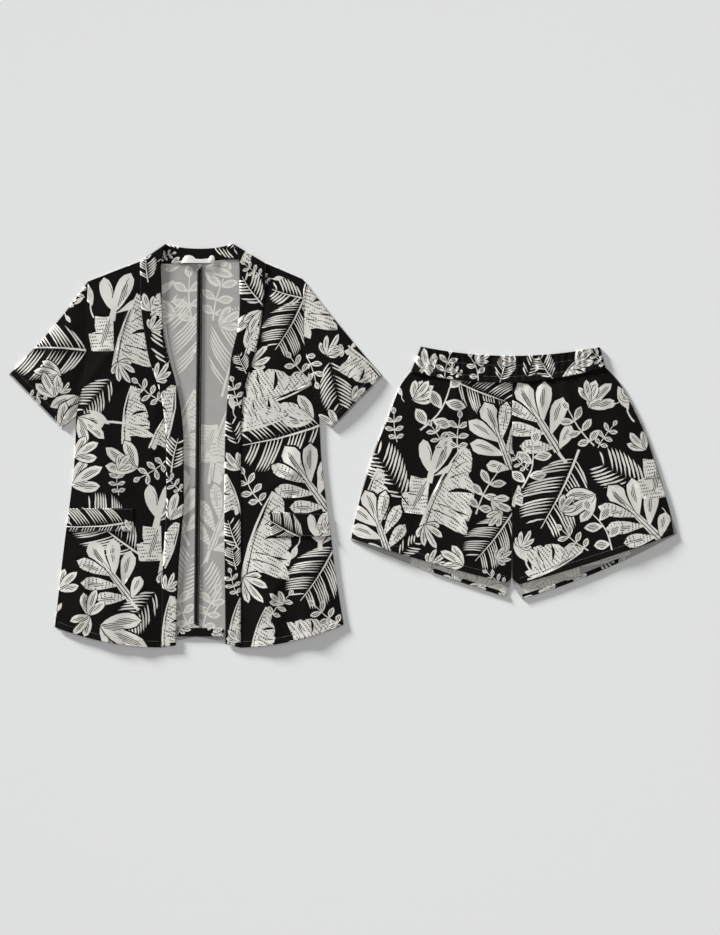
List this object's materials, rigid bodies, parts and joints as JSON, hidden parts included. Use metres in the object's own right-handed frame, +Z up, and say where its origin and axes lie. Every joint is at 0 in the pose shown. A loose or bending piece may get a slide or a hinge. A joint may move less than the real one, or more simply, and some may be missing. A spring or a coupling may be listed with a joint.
{
  "type": "shirt and shorts set",
  "caption": "Open-front kimono-style shirt with wide short sleeves and a front band, and elastic-waist shorts, in black cloth with a white leaf print, both laid flat side by side.",
  "frame": {"origin": "centre of the bounding box on the surface that the garments lie on", "axes": "+X from the shirt towards the shorts, +Y towards the neck and the waistband, +Z up from the surface"},
  "size_m": [1.2, 0.727, 0.0061],
  "materials": {
    "printed_cloth": "matt black viscose with an off-white leaf print",
    "cloth_inside": "matt grey wrong side, the print showing through pale",
    "seam_allowance": "matt black pressed-open seam allowance with overlocked edges",
    "label": "blank white woven label, slightly satin"
  },
  "bodies": {
    "root": {"shirt_front_left": "printed_cloth", "shirt_front_right": "printed_cloth", "shirt_back_left": "cloth_inside", "shirt_back_right": "cloth_inside", "shirt_back_seam": "seam_allowance", "shirt_back_hem": "printed_cloth", "shirt_sleeve_left": "printed_cloth", "shirt_sleeve_right": "printed_cloth", "shirt_band_left": "printed_cloth", "shirt_band_right": "printed_cloth", "shirt_band_neck": "printed_cloth", "shirt_flap_left": "printed_cloth", "shirt_flap_right": "printed_cloth", "shirt_label": "label", "shorts_front_left": "printed_cloth", "shorts_front_right": "printed_cloth", "shorts_back_left": "cloth_inside", "shorts_back_right": "cloth_inside", "shorts_waistband": "printed_cloth", "shorts_hem_left": "printed_cloth", "shorts_hem_right": "printed_cloth"}
  },
  "joints": []
}
